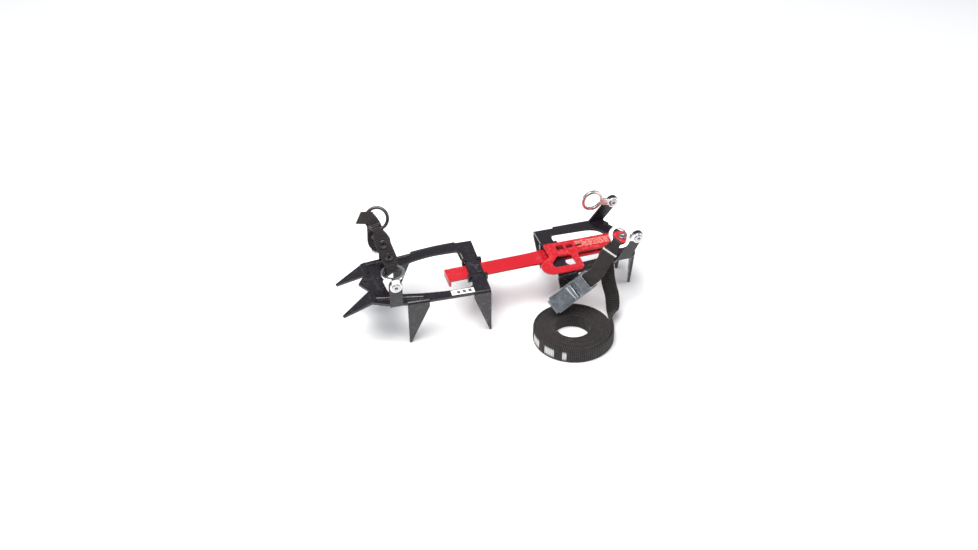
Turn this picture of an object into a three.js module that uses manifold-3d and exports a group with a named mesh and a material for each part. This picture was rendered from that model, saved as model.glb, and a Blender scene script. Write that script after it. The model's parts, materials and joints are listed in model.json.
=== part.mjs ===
// A ten-point strap-on crampon: front frame, heel frame, the flat link bar that joins them,
// the spring latch that sets the length, ring links, toe harness, buckle and ankle strap.
// Millimetres. X runs from toe (-X) to heel (+X) along the link bar, -Y is the buckle side,
// Z is up and Z = 0 is the ground under the spikes.

import * as THREE from 'three';
import { mergeVertices } from 'three/addons/utils/BufferGeometryUtils.js';
import Module from 'manifold-3d';

// Driving dimensions
const SHIFT_X = -2.15; // moves the whole part so that its origin is the middle of its base
const SHIFT_Y = 7.4;
const DECK_TOP = 52; // top face of both frames
const SHEET = 2.6; // frame sheet thickness
const DECK_BOTTOM = DECK_TOP - SHEET;
const GAP = 0.35; // clearance between pieces that touch
const FRONT_YAW = -3; // the front frame turns towards the big toe, degrees
const FRONT_PIVOT = [-20, 4.6]; // where the front frame's own axis meets the link bar
const HEEL_Y = 2; // centre line of the heel frame

const BAR = {
  top: DECK_BOTTOM - GAP, thick: 2, front: -43.5, rear: 136, frontWidth: 19.5, rearWidth: 21.5, hook: 5.5,
};
const HOLE_PITCH = 10; // length steps of the latch
const HOLE = { long: 8, wide: 10 };
const LATCH = {
  front: 64, rear: 159, width: 20.5, thick: 1.8, tilt: 0.9,
  pivotX: 157.5, pegX: 72.5, rivetX: 149.5, rivetHole: 2.9,
};
const PEG_HOLE = 3.8; // half size of the hole in the heel frame that the peg drops through
const LATCH_BOTTOM = DECK_TOP + GAP; // underside of the latch when it is locked flat

const SPIKE_BLUNT = 1.6; // width of a spike's worn tip
const RING = { outer: 12, inner: 8.7, thick: 2.5 }; // stamped ring of every link
const EYE = { outer: 6, hole: 2.9 }; // rivet eye of every link
const SHANK = 2.5; // rivet shank radius
const NECK_WIDTH = 8;
const TOE_POST = { nearX: -102, farX: -99, z: 75.5, width: 13, near: -41.5, far: 35.8 };
const HEEL_POST = {
  near: { y: -33, x: 151.5, z: 76, baseFrom: 131, baseTo: 147 },
  far: { y: 37.5, x: 151.5, z: 74.5, baseFrom: 126, baseTo: 142 },
  radius: 6.4,
};
const NEAR_REACH = 22; // rivet to ring centre of the twisted heel link
const FAR_REACH = 25;
const BEND = 3.4; // outer radius where a spike or post is folded from the deck
const TOE_RING = { centre: [-110, -1, 130], major: 10.7, minor: 1.6 }; // in the front frame's axes
const WEB = { width: 15, thick: 1.5 }; // strap webbing
const COIL = { x: 66.2, y: -77, inner: 16.8, outer: 41.2, height: 15, squash: 0.93, turn: -18 };

const NEAR_TILT = 48; // the buckle-side heel link is twisted by this much at its neck
const NEAR_RISE = 16; // and rises by this much towards the toe
const FAR_RISE = 17;
const TOE_LEAN = { near: 0, far: -50 }; // how far each bent toe link lies over to the heel

const wasm = await Module();
wasm.setup();

// Materials
const metal = (color, roughness, metalness) => (
  new THREE.MeshStandardMaterial({ color, roughness, metalness })
);
const BLACK_PAINT = metal(0x1b181b, 0.35, 0.3);
const RED_PAINT = metal(0xc51a22, 0.35, 0.2);
const CHROME = metal(0xc9c8c6, 0.18, 1.0);
const STEEL = metal(0x8e9096, 0.4, 0.9);
const WEBBING = metal(0x2a2626, 0.85, 0.0);
const LABEL = metal(0xe9e9e4, 0.5, 0.0);

// Solids. Joined and cut bodies stay manifold solids until a piece is made of them.
function toSolid(geometry) {
  if (!geometry.isBufferGeometry) {
    return geometry;
  }
  const bare = geometry.index ? geometry.toNonIndexed() : geometry.clone();
  bare.deleteAttribute('normal');
  bare.deleteAttribute('uv');
  const merged = mergeVertices(bare, 1e-4);
  return new wasm.Manifold(new wasm.Mesh({
    numProp: 3,
    vertProperties: new Float32Array(merged.attributes.position.array),
    triVerts: new Uint32Array(merged.index.array),
  }));
}

function fromSolid(solid) {
  const mesh = solid.getMesh();
  const geometry = new THREE.BufferGeometry();
  geometry.setAttribute('position', new THREE.BufferAttribute(new Float32Array(mesh.vertProperties), 3));
  geometry.setIndex(new THREE.BufferAttribute(new Uint32Array(mesh.triVerts), 1));
  return geometry;
}

const join = (...bodies) => bodies.map(toSolid).reduce((a, b) => a.add(b));
const cut = (body, ...tools) => tools.map(toSolid).reduce((a, b) => a.subtract(b), toSolid(body));

function piece(name, body, material) {
  const mesh = new THREE.Mesh(body.isBufferGeometry ? body : fromSolid(body), material);
  mesh.name = name;
  return mesh;
}

// Basic shapes
const rad = THREE.MathUtils.degToRad;

function box(x0, x1, y0, y1, z0, z1) {
  const geometry = new THREE.BoxGeometry(x1 - x0, y1 - y0, z1 - z0);
  return geometry.translate((x0 + x1) / 2, (y0 + y1) / 2, (z0 + z1) / 2);
}

function extrude(shape, bottom, top, curveSegments = 8) {
  const depth = top - bottom;
  const geometry = new THREE.ExtrudeGeometry(shape, { depth, bevelEnabled: false, curveSegments });
  return geometry.translate(0, 0, bottom);
}

// A cylinder along Y between two values of y, centred on (x, z).
function pinY(x, z, radius, y0, y1, sides = 20) {
  const geometry = new THREE.CylinderGeometry(radius, radius, y1 - y0, sides);
  return geometry.translate(x, (y0 + y1) / 2, z);
}

function roundedRect(x0, x1, y0, y1, r, kind = THREE.Shape) {
  const shape = new kind();
  shape.moveTo(x0 + r, y0);
  shape.lineTo(x1 - r, y0);
  shape.absarc(x1 - r, y0 + r, r, -Math.PI / 2, 0);
  shape.lineTo(x1, y1 - r);
  shape.absarc(x1 - r, y1 - r, r, 0, Math.PI / 2);
  shape.lineTo(x0 + r, y1);
  shape.absarc(x0 + r, y1 - r, r, Math.PI / 2, Math.PI);
  shape.lineTo(x0, y0 + r);
  shape.absarc(x0 + r, y0 + r, r, Math.PI, Math.PI * 1.5);
  return shape;
}

// A spike: a triangle hanging from the deck's edge between two plan points, its tip a given
// share of the way along the base; the sheet lies to the left of the line from one to the other.
function spike({ from, to, tipShare }) {
  const start = new THREE.Vector2(...from);
  const along = new THREE.Vector2(...to).sub(start);
  const length = along.length();
  const tip = length * tipShare;
  const shape = new THREE.Shape();
  shape.moveTo(0, DECK_TOP - 0.4);
  shape.lineTo(length, DECK_TOP - 0.4);
  shape.lineTo(length, DECK_BOTTOM - 5);
  shape.lineTo(tip + SPIKE_BLUNT / 2, 0);
  shape.lineTo(tip - SPIKE_BLUNT / 2, 0);
  shape.lineTo(0, DECK_BOTTOM - 5);
  const geometry = new THREE.ExtrudeGeometry(shape, { depth: SHEET, bevelEnabled: false });
  geometry.translate(0, 0, -SHEET);
  geometry.rotateX(Math.PI / 2);
  geometry.rotateZ(along.angle());
  return geometry.translate(start.x, start.y, 0);
}

// The sharp corner to take off along a fold, so that the sheet bends over with a round outside.
function foldCorner({ from, to }) {
  const start = new THREE.Vector2(...from);
  const along = new THREE.Vector2(...to).sub(start);
  const section = new THREE.Shape();
  section.moveTo(-1, 1);
  section.lineTo(-1, -BEND);
  section.lineTo(0, -BEND);
  section.absarc(BEND, -BEND, BEND, Math.PI, Math.PI / 2, true);
  section.lineTo(BEND, 1);
  const geometry = new THREE.ExtrudeGeometry(section, {
    depth: along.length(), bevelEnabled: false, curveSegments: 5,
  });
  geometry.rotateX(Math.PI / 2);
  geometry.rotateZ(along.angle() + Math.PI / 2);
  return geometry.translate(start.x, start.y, DECK_TOP);
}

// A raised stiffening rib on the deck between two plan points.
function rib(from, to, width = 4.2, height = 2) {
  const start = new THREE.Vector2(...from);
  const along = new THREE.Vector2(...to).sub(start);
  const section = new THREE.Shape();
  section.moveTo(-width / 2, -0.5);
  section.lineTo(width / 2, -0.5);
  section.quadraticCurveTo(width / 3, height, 0, height);
  section.quadraticCurveTo(-width / 3, height, -width / 2, -0.5);
  const geometry = new THREE.ExtrudeGeometry(section, {
    depth: along.length(), bevelEnabled: false, curveSegments: 4,
  });
  geometry.rotateX(Math.PI / 2);
  geometry.rotateZ(along.angle() + Math.PI / 2);
  return geometry.translate(start.x, start.y, DECK_TOP);
}

// Front frame, in its own axes
const FRONT_OUTER_FAR = [[-125.5, 31.8], [-106, 34.6], [-88, 35.8], [-64, 39.7], [-40, 42.4], [-6, 43.5]];
const FRONT_OUTER_NEAR = [[-6, -43.5], [-68, -43.2], [-91, -42.4], [-111, -38.5], [-125.5, -31.8]];
const HORN = { root: -125, inner: 12.6, outer: 31.8, slope: 30 };
const HORN_TIP = { near: { y: 25, reach: 35 }, far: { y: 25.5, reach: 34 } };

const points = (list) => list.map(([x, y]) => new THREE.Vector2(x, y));

function frontOpening() {
  const hole = new THREE.Path();
  hole.moveTo(-29, 28.2);
  hole.splineThru(points([[-55, 27.4], [-81, 20.6], [-104, 5.5]]));
  hole.quadraticCurveTo(-108.5, 2.5, -108.5, -3);
  hole.lineTo(-107, -16);
  hole.quadraticCurveTo(-106, -24, -97, -25.8);
  hole.splineThru(points([[-74, -30.4], [-47, -33.3], [-29, -33.7]]));
  hole.quadraticCurveTo(-21.3, -33.7, -21.3, -26);
  hole.lineTo(-21.3, 20.5);
  hole.quadraticCurveTo(-21.3, 28.2, -29, 28.2);
  return hole;
}

function frontDeck() {
  const shape = new THREE.Shape();
  shape.moveTo(-133, 0);
  shape.lineTo(HORN.root, HORN.inner);
  shape.lineTo(...FRONT_OUTER_FAR[0]);
  shape.splineThru(points(FRONT_OUTER_FAR.slice(1)));
  shape.lineTo(-6, -43.5);
  for (const point of FRONT_OUTER_NEAR.slice(1)) {
    shape.lineTo(...point);
  }
  shape.lineTo(HORN.root, -HORN.inner);
  shape.holes.push(frontOpening());
  return extrude(shape, DECK_BOTTOM, DECK_TOP, 6);
}

function horn(side, tip) {
  const shape = new THREE.Shape();
  shape.moveTo(-4, side * (HORN.outer - 0.8));
  shape.lineTo(0, side * HORN.outer);
  shape.lineTo(tip.reach, side * (tip.y + 1));
  shape.lineTo(tip.reach, side * (tip.y - 1));
  shape.lineTo(0, side * HORN.inner);
  shape.lineTo(-4, side * (HORN.inner + 2));
  const geometry = extrude(shape, -SHEET, 0);
  geometry.scale(-1, 1, 1);
  flip(geometry);
  geometry.rotateY(-rad(HORN.slope));
  return geometry.translate(HORN.root + 1, 0, DECK_TOP);
}

// Turns the triangles of a mirrored geometry the right way out again.
function flip(geometry) {
  const position = geometry.attributes.position;
  for (let i = 0; i < position.count; i += 3) {
    const a = new THREE.Vector3().fromBufferAttribute(position, i);
    const c = new THREE.Vector3().fromBufferAttribute(position, i + 2);
    position.setXYZ(i, c.x, c.y, c.z);
    position.setXYZ(i + 2, a.x, a.y, a.z);
  }
  return geometry;
}

function toePost(x, outerY, side) {
  const inner = outerY - side * SHEET;
  const [y0, y1] = [Math.min(outerY, inner), Math.max(outerY, inner)];
  const shape = new THREE.Shape();
  const half = TOE_POST.width / 2;
  shape.moveTo(x - half, DECK_BOTTOM);
  shape.lineTo(x + half, DECK_BOTTOM);
  shape.lineTo(x + half, TOE_POST.z);
  shape.absarc(x, TOE_POST.z, half, 0, Math.PI);
  const tab = new THREE.ExtrudeGeometry(shape, { depth: y1 - y0, bevelEnabled: false, curveSegments: 10 });
  tab.rotateX(Math.PI / 2).translate(0, y1, 0);
  return cut(tab, pinY(x, TOE_POST.z, SHANK + GAP, y0 - 1, y1 + 1));
}

const FRONT_SPIKES = [
  { from: [-91, -42.4], to: [-69, -43.1], tipShare: 0.04 },
  { from: [-72, 38.4], to: [-92, 35.5], tipShare: 0.96 },
  { from: [-23.5, -43.4], to: [-6, -43.5], tipShare: 0.96 },
  { from: [-6, 43.5], to: [-23.5, 43.1], tipShare: 0.04 },
];

function frontFrame() {
  const body = join(
    frontDeck(),
    horn(1, HORN_TIP.far),
    horn(-1, HORN_TIP.near),
    toePost(TOE_POST.nearX, TOE_POST.near, -1),
    toePost(TOE_POST.farX, TOE_POST.far, 1),
    ...FRONT_SPIKES.map(spike),
    rib([-121, -27], [-74, -37]),
    rib([-121, 27], [-74, 31.5]),
    box(-20, -7.4, -FRONT_PIVOT[1] - 9, -FRONT_PIVOT[1] + 9, DECK_TOP - 0.5, DECK_TOP + 1),
  );
  return piece('front_frame', cut(body, ...FRONT_SPIKES.map(foldCorner)), BLACK_PAINT);
}

// A saddle that hangs under a cross-bar and holds the link bar; its ears clip over the edges.
function barGuide(name, x0, x1, floorTo, halfWidth, earSides) {
  const floorTop = BAR.top - BAR.thick - GAP;
  const floorBottom = floorTop - 1.8;
  const wall = 1.8;
  const wallTop = DECK_BOTTOM - GAP;
  const parts = [
    box(x0 - 2.4, floorTo, -halfWidth - wall, halfWidth + wall, floorBottom, floorTop),
    box(x0 - 2.4, x1 + 2.4, -halfWidth - wall, -halfWidth, floorBottom, wallTop),
    box(x0 - 2.4, x1 + 2.4, halfWidth, halfWidth + wall, floorBottom, wallTop),
  ];
  for (const side of earSides) {
    const [y0, y1] = [side * halfWidth, side * (halfWidth + 4)].sort((a, b) => a - b);
    for (const [edge, out] of [[x0, -1], [x1, 1]]) {
      const [a, b] = [edge + out * GAP * 2, edge + out * (GAP * 2 + 1.9)].sort((p, q) => p - q);
      const [c, d] = [edge - out * 1.6, edge + out * (GAP * 2 + 1.9)].sort((p, q) => p - q);
      parts.push(box(a, b, y0, y1, wallTop - 1.5, DECK_TOP + GAP + 1.4));
      parts.push(box(c, d, y0, y1, DECK_TOP + GAP, DECK_TOP + GAP + 1.4));
    }
  }
  return piece(name, join(...parts), BLACK_PAINT);
}

// Link bar
function linkBar() {
  const bottom = BAR.top - BAR.thick;
  const shape = new THREE.Shape();
  shape.moveTo(BAR.front, -BAR.frontWidth / 2);
  shape.lineTo(45, -BAR.frontWidth / 2);
  shape.lineTo(62, -BAR.rearWidth / 2);
  shape.lineTo(BAR.rear, -BAR.rearWidth / 2);
  shape.lineTo(BAR.rear, BAR.rearWidth / 2);
  shape.lineTo(62, BAR.rearWidth / 2);
  shape.lineTo(45, BAR.frontWidth / 2);
  shape.lineTo(BAR.front, BAR.frontWidth / 2);
  for (let i = 0; i <= 5; i += 1) {
    const x = LATCH.pegX + i * HOLE_PITCH;
    shape.holes.push(roundedRect(
      x - HOLE.long / 2, x + HOLE.long / 2, -HOLE.wide / 2, HOLE.wide / 2, 1, THREE.Path,
    ));
  }
  const half = BAR.frontWidth / 2;
  const hook = box(BAR.front, BAR.front + BAR.thick, -half, half, bottom - BAR.hook, bottom + 1);
  return piece('link_bar', join(extrude(shape, bottom, BAR.top, 3), hook), RED_PAINT);
}

// Heel frame, in its own axes (Y measured from its centre line)
function heelDeck() {
  const shape = new THREE.Shape();
  shape.moveTo(64.5, 39.8);
  shape.lineTo(64.5, -39.8);
  shape.lineTo(116, -38.4);
  shape.quadraticCurveTo(127, -37.5, 131, -33);
  shape.lineTo(147, -33);
  shape.quadraticCurveTo(151, -32.6, 153, -28);
  shape.lineTo(159, -6);
  shape.quadraticCurveTo(161, 0, 158, 6);
  shape.lineTo(144, 32);
  shape.quadraticCurveTo(140, 38, 122, 38.4);
  const hole = new THREE.Path();
  hole.moveTo(78.5, -22);
  hole.lineTo(78.5, 22);
  hole.quadraticCurveTo(78.5, 27.5, 84, 27.4);
  hole.lineTo(116, 25.6);
  hole.quadraticCurveTo(129, 24.5, 133, 17);
  hole.quadraticCurveTo(140, 6, 140, 0);
  hole.quadraticCurveTo(140, -6, 133, -17);
  hole.quadraticCurveTo(129, -24.5, 116, -25.6);
  hole.lineTo(84, -27.4);
  hole.quadraticCurveTo(78.5, -27.5, 78.5, -22);
  shape.holes.push(hole);
  return extrude(shape, DECK_BOTTOM, DECK_TOP, 6);
}

function heelPost({ x, y, z, baseFrom, baseTo }) {
  const { radius } = HEEL_POST;
  const lean = Math.atan2(z - DECK_TOP, x - (baseFrom + baseTo) / 2);
  const shape = new THREE.Shape();
  shape.moveTo(baseFrom, DECK_BOTTOM);
  shape.lineTo(baseTo, DECK_BOTTOM);
  shape.lineTo(baseTo, DECK_TOP);
  shape.lineTo(x + radius * Math.sin(lean), z - radius * Math.cos(lean));
  shape.absarc(x, z, radius, lean - Math.PI / 2, lean + Math.PI / 2);
  shape.lineTo(baseFrom, DECK_TOP);
  const tab = new THREE.ExtrudeGeometry(shape, { depth: SHEET, bevelEnabled: false, curveSegments: 10 });
  tab.rotateX(Math.PI / 2).translate(0, y > 0 ? y : y + SHEET, 0);
  return cut(tab, pinY(x, z, SHANK + GAP, -60, 60));
}

const HEEL_SPIKES = [
  { from: [64.5, -39.8], to: [86, -39.3], tipShare: 0.45 },
  { from: [86, 39.3], to: [64.5, 39.8], tipShare: 0.55 },
  { from: [153.6, -26], to: [158.2, -9], tipShare: 0.75 },
  { from: [156.4, 9], to: [146.2, 28], tipShare: 0.25 },
];

function heelFrame() {
  const body = join(
    heelDeck(),
    heelPost(HEEL_POST.far),
    heelPost(HEEL_POST.near),
    box(120, 143, 33.5, HEEL_POST.far.y, DECK_BOTTOM, DECK_TOP),
    ...HEEL_SPIKES.map(spike),
  );
  const rivetHole = new THREE.CylinderGeometry(3.2, 3.2, 20, 20);
  rivetHole.rotateX(Math.PI / 2).translate(LATCH.rivetX, -HEEL_Y, DECK_TOP);
  const pegHole = box(
    LATCH.pegX - PEG_HOLE, LATCH.pegX + PEG_HOLE, -PEG_HOLE - HEEL_Y, PEG_HOLE - HEEL_Y,
    DECK_BOTTOM - 1, DECK_TOP + 1,
  );
  const mesh = piece(
    'heel_frame', cut(body, rivetHole, pegHole, ...HEEL_SPIKES.map(foldCorner)), BLACK_PAINT,
  );
  mesh.position.y = HEEL_Y;
  return mesh;
}

// Latch: a flat spring with three windows, a finger loop at the buckle side and a peg.
function latchPlate() {
  const half = LATCH.width / 2;
  const shape = new THREE.Shape();
  shape.moveTo(LATCH.front, half);
  shape.lineTo(LATCH.front - 0.6, -half);
  shape.lineTo(LATCH.front - 13.6, -21.5);
  shape.quadraticCurveTo(LATCH.front - 16, -36, LATCH.front - 4, -38);
  shape.lineTo(LATCH.front + 23, -38);
  shape.quadraticCurveTo(LATCH.front + 29.5, -37.5, LATCH.front + 29.5, -31);
  shape.lineTo(LATCH.front + 30, -14);
  shape.quadraticCurveTo(LATCH.front + 30.5, -half, LATCH.front + 34.5, -half);
  shape.lineTo(LATCH.rear - half, -half);
  shape.absarc(LATCH.rear - half, 0, half, -Math.PI / 2, Math.PI / 2);
  for (const [x, long, wide] of [[15.3, 8, 7.5], [25.5, 7.5, 5.5], [35.5, 6.5, 4.5]]) {
    const at = LATCH.front + x;
    shape.holes.push(roundedRect(
      at - long / 2, at + long / 2, 1 - wide / 2, 1 + wide / 2, 1, THREE.Path,
    ));
  }
  const finger = new THREE.Path();
  finger.moveTo(LATCH.front + 7.5, -12);
  finger.lineTo(LATCH.front + 19.5, -12);
  finger.quadraticCurveTo(LATCH.front + 21.5, -12, LATCH.front + 22, -14);
  finger.lineTo(LATCH.front + 23, -29);
  finger.lineTo(LATCH.front + 1.5, -29);
  finger.quadraticCurveTo(LATCH.front - 2.5, -28, LATCH.front - 0.5, -21);
  shape.holes.push(finger);
  const rivetHole = new THREE.Path();
  rivetHole.absarc(LATCH.rivetX, 0, LATCH.rivetHole, 0, Math.PI * 2);
  shape.holes.push(rivetHole);
  return extrude(shape, LATCH_BOTTOM, LATCH_BOTTOM + LATCH.thick, 8);
}

function latchTurn(group) {
  const pivot = new THREE.Group();
  pivot.position.set(LATCH.pivotX, 0, LATCH_BOTTOM);
  pivot.rotation.y = rad(LATCH.tilt);
  group.position.set(-LATCH.pivotX, 0, -LATCH_BOTTOM);
  pivot.add(group);
  return pivot;
}

function latch() {
  const tilted = new THREE.Group();
  tilted.add(piece('latch_plate', latchPlate(), RED_PAINT));
  const pegTop = LATCH_BOTTOM - GAP;
  const pegBottom = BAR.top - 1.0;
  tilted.add(piece('latch_peg', box(
    LATCH.pegX - 2.6, LATCH.pegX + 2.6, -2.8, 2.8, pegBottom, pegTop,
  ), STEEL));
  const rivetTop = LATCH_BOTTOM + LATCH.thick + GAP;
  const profile = points([
    [1.3, DECK_BOTTOM], [2.5, DECK_BOTTOM], [2.5, rivetTop], [4.9, rivetTop],
    [4.5, rivetTop + 1.1], [1.9, rivetTop + 1.3], [1.3, rivetTop + 0.6], [1.3, DECK_BOTTOM],
  ]);
  const rivet = new THREE.LatheGeometry(profile, 24).rotateX(Math.PI / 2);
  rivet.translate(LATCH.rivetX, 0, 0);
  tilted.add(piece('latch_rivet', rivet, STEEL));
  return latchTurn(tilted);
}

// Links. Each lies in the XZ plane of its own group with the rivet at the origin,
// its thickness from y = 0 to y = RING.thick.
function annulus(cx, cz, outer, inner, segments = 16) {
  const shape = new THREE.Shape();
  shape.absarc(cx, cz, outer, 0, Math.PI * 2);
  const hole = new THREE.Path();
  hole.absarc(cx, cz, inner, 0, Math.PI * 2);
  shape.holes.push(hole);
  const geometry = new THREE.ExtrudeGeometry(shape, {
    depth: RING.thick, bevelEnabled: false, curveSegments: segments,
  });
  return geometry.rotateX(Math.PI / 2).translate(0, RING.thick, 0);
}

// A flat or twisted link that reaches along -X; the ring is turned about the neck's line.
function straightLink(name, reach, twist) {
  const eye = annulus(0, 0, EYE.outer, EYE.hole, 10);
  const ring = annulus(0, 0, RING.outer, RING.inner);
  ring.translate(0, -RING.thick / 2, 0).rotateX(rad(twist));
  ring.translate(-reach, RING.thick / 2, 0);
  const from = -EYE.outer + 1.2;
  const straight = 2.4; // the neck stays flat this far before it twists
  const to = -reach + RING.outer - 1.5;
  const neck = new THREE.BoxGeometry(from - to, RING.thick, NECK_WIDTH, 6, 1, 1);
  const position = neck.attributes.position;
  for (let i = 0; i < position.count; i += 1) {
    const along = (0.5 - position.getX(i) / (from - to)) * (from - to);
    const share = Math.max(0, along - straight) / (from - to - straight);
    const point = new THREE.Vector3(0, position.getY(i), position.getZ(i));
    point.applyAxisAngle(new THREE.Vector3(1, 0, 0), rad(twist) * share);
    position.setXYZ(i, position.getX(i), point.y, point.z);
  }
  neck.translate((from + to) / 2, RING.thick / 2, 0);
  const body = cut(join(eye, neck, ring), pinY(0, 0, EYE.hole, -5, 8));
  return piece(name, body, CHROME);
}

// A link bent over at its neck so that its ring lies across, reaching inwards along +Y.
const BENT = { rise: 7.1, reach: 13.6 };

function bentLink(name) {
  const top = BENT.rise + RING.thick;
  const ring = annulus(0, 0, RING.outer, RING.inner);
  ring.rotateX(Math.PI / 2).translate(0, BENT.reach, BENT.rise);
  const body = join(
    annulus(0, 0, EYE.outer, EYE.hole, 10),
    box(-NECK_WIDTH / 2, NECK_WIDTH / 2, 0, RING.thick, EYE.outer - 1.4, top),
    box(-NECK_WIDTH / 2, NECK_WIDTH / 2, 0, BENT.reach - RING.outer + 1.5, BENT.rise, top),
    ring,
  );
  return piece(name, body, CHROME);
}

// A tubular rivet with a head on each side of a pack that runs from y0 to y1.
function tubeRivet(name, y0, y1, head = 4.4) {
  const bore = 1.4; // radius
  const rim = 1.1; // how far a rolled head stands out
  const profile = points([
    [bore, y0 - rim], [head - 0.5, y0 - rim], [head, y0 - GAP], [SHANK, y0 - GAP], [SHANK, y1 + GAP],
    [head, y1 + GAP], [head - 0.5, y1 + rim], [bore, y1 + rim], [bore, y0 - rim],
  ]);
  return piece(name, new THREE.LatheGeometry(profile, 20), STEEL);
}

// Webbing. A strip of rectangular section carried along a list of stations.
function strip(stations, thick, closed = false) {
  const count = stations.length;
  const geometry = new THREE.BoxGeometry(1, thick, 1, 1, 1, closed ? count : count - 1);
  const position = geometry.attributes.position;
  const steps = closed ? count : count - 1;
  for (let i = 0; i < position.count; i += 1) {
    const index = Math.round((position.getZ(i) + 0.5) * steps) % count;
    const { at, across, out, width } = stations[index];
    const point = at.clone();
    point.addScaledVector(across, position.getX(i) * width).addScaledVector(out, position.getY(i));
    position.setXYZ(i, point.x, point.y, point.z);
  }
  if (closed) {
    const kept = [];
    const index = geometry.index.array;
    for (const group of geometry.groups.slice(0, 4)) {
      kept.push(...index.slice(group.start, group.start + group.count));
    }
    geometry.setIndex(kept);
    geometry.clearGroups();
  }
  return toSolid(geometry);
}

// Stations of a smooth run through points, with the webbing's width turned through given directions.
function runStations(route, widths, steps, gathered = [WEB.width, WEB.width]) {
  const curve = new THREE.CatmullRomCurve3(route.map((p) => new THREE.Vector3(...p)), false, 'centripetal');
  const turn = new THREE.CatmullRomCurve3(widths.map((p) => new THREE.Vector3(...p)), false, 'centripetal');
  const stations = [];
  for (let i = 0; i <= steps; i += 1) {
    const share = i / steps;
    const at = curve.getPointAt(share);
    const along = curve.getTangentAt(share);
    const out = new THREE.Vector3().crossVectors(along, turn.getPoint(share)).normalize();
    const across = new THREE.Vector3().crossVectors(out, along).normalize();
    const squeeze = gathered[0] * ease(share) + gathered[1] * ease(1 - share);
    const width = squeeze + WEB.width * (1 - ease(share) - ease(1 - share));
    stations.push({ at, along, across, out, width });
  }
  return stations;
}

// 1 at the end of a run, falling to 0 a quarter of the way along it.
const ease = (share) => (share >= 0.25 ? 0 : 0.5 + 0.5 * Math.cos(4 * Math.PI * share));

// A doubled belt of webbing: both layers follow the run, open round a bar at each end.
function belt(run, openStart, openEnd, pressed = 0.95) {
  const count = run.length - 1;
  const turnSteps = 6;
  const loop = [];
  const place = (station, angle, radius, slide) => {
    const direction = station.out.clone().multiplyScalar(Math.sin(angle));
    direction.addScaledVector(station.along, Math.cos(angle));
    const at = station.at.clone().addScaledVector(direction, radius);
    loop.push({ at, across: station.across, out: direction, width: station.width });
  };
  const spread = (share) => (
    pressed + (openStart - pressed) * ease(share) + (openEnd - pressed) * ease(1 - share)
  );
  for (let i = 0; i <= count; i += 1) {
    place(run[i], Math.PI / 2, spread(i / count));
  }
  for (let k = 1; k < turnSteps; k += 1) {
    place(run[count], Math.PI * (0.5 - k / turnSteps), openEnd);
  }
  for (let i = count; i >= 0; i -= 1) {
    place(run[i], -Math.PI / 2, spread(i / count));
  }
  for (let k = 1; k < turnSteps; k += 1) {
    place(run[0], -Math.PI * (0.5 + k / turnSteps), openStart);
  }
  return strip(loop, WEB.thick, true);
}

// Places a geometry made round the Y axis so that its axis follows a station's thickness.
function onStation(geometry, station) {
  const turn = new THREE.Quaternion().setFromUnitVectors(new THREE.Vector3(0, 1, 0), station.out);
  return geometry.applyQuaternion(turn).translate(station.at.x, station.at.y, station.at.z);
}

const punched = (body, stations) => cut(body, ...stations.map((station) => onStation(
  new THREE.CylinderGeometry(SHANK + GAP, SHANK + GAP, 12, 20), station,
)));

function strapRivet(name, station) {
  const half = 1.75 + WEB.thick / 2;
  const rivet = tubeRivet(name, -half, half, 4.2);
  onStation(rivet.geometry, station);
  return rivet;
}

// Toe harness: two bent links, a loose ring between them and a riveted strap to each.
const ringFace = new THREE.Vector3(-0.237, -0.74, 0.629).normalize(); // the way the toe ring faces
const ringSide = new THREE.Vector3(0.952, -0.305, 0).normalize();
const ringUp = new THREE.Vector3().crossVectors(ringFace, ringSide).normalize();

function fromRing(side, up, face) {
  const point = new THREE.Vector3(...TOE_RING.centre);
  point.addScaledVector(ringSide, side).addScaledVector(ringUp, up).addScaledVector(ringFace, face);
  return point.toArray();
}

function toeRing() {
  const ring = new THREE.TorusGeometry(TOE_RING.major, TOE_RING.minor, 10, 32);
  const mesh = piece('toe_ring', ring, STEEL);
  mesh.quaternion.setFromRotationMatrix(new THREE.Matrix4().makeBasis(ringSide, ringUp, ringFace));
  mesh.position.set(...TOE_RING.centre);
  return mesh;
}

const GATHERED = 9; // webbing bunches to this width inside a ring
const LOOP_AT = 9.3; // radius inside a link's ring at which a strap is looped
const LOOP_ANGLE = { near: rad(90), far: rad(100) }; // where on its ring each strap pulls

// Place and wire direction of the loop of a toe strap in its bent link.
function toeLoop(x, y, side, angle, lean) {
  const inwards = -side;
  const at = new THREE.Vector3(
    inwards * LOOP_AT * Math.cos(angle),
    inwards * (BENT.reach + LOOP_AT * Math.sin(angle)),
    BENT.rise + 0.5,
  );
  const wire = new THREE.Vector3(Math.sin(angle), -Math.cos(angle), 0);
  const axis = new THREE.Vector3(0, 1, 0);
  at.applyAxisAngle(axis, rad(lean)).add(new THREE.Vector3(x, y, TOE_POST.z));
  return { at, wire: wire.applyAxisAngle(axis, rad(lean)) };
}

const between = (a, b, share, [x, y, z]) => (
  a.clone().lerp(b, share).add(new THREE.Vector3(x, y, z)).toArray()
);

// The point a strap passes just after it leaves its loop squarely to the wire.
function leaving({ at, wire }, end, distance = 9) {
  const way = end.clone().sub(at);
  way.addScaledVector(wire, -way.dot(wire)).normalize();
  return at.clone().addScaledVector(way, distance).toArray();
}

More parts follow.
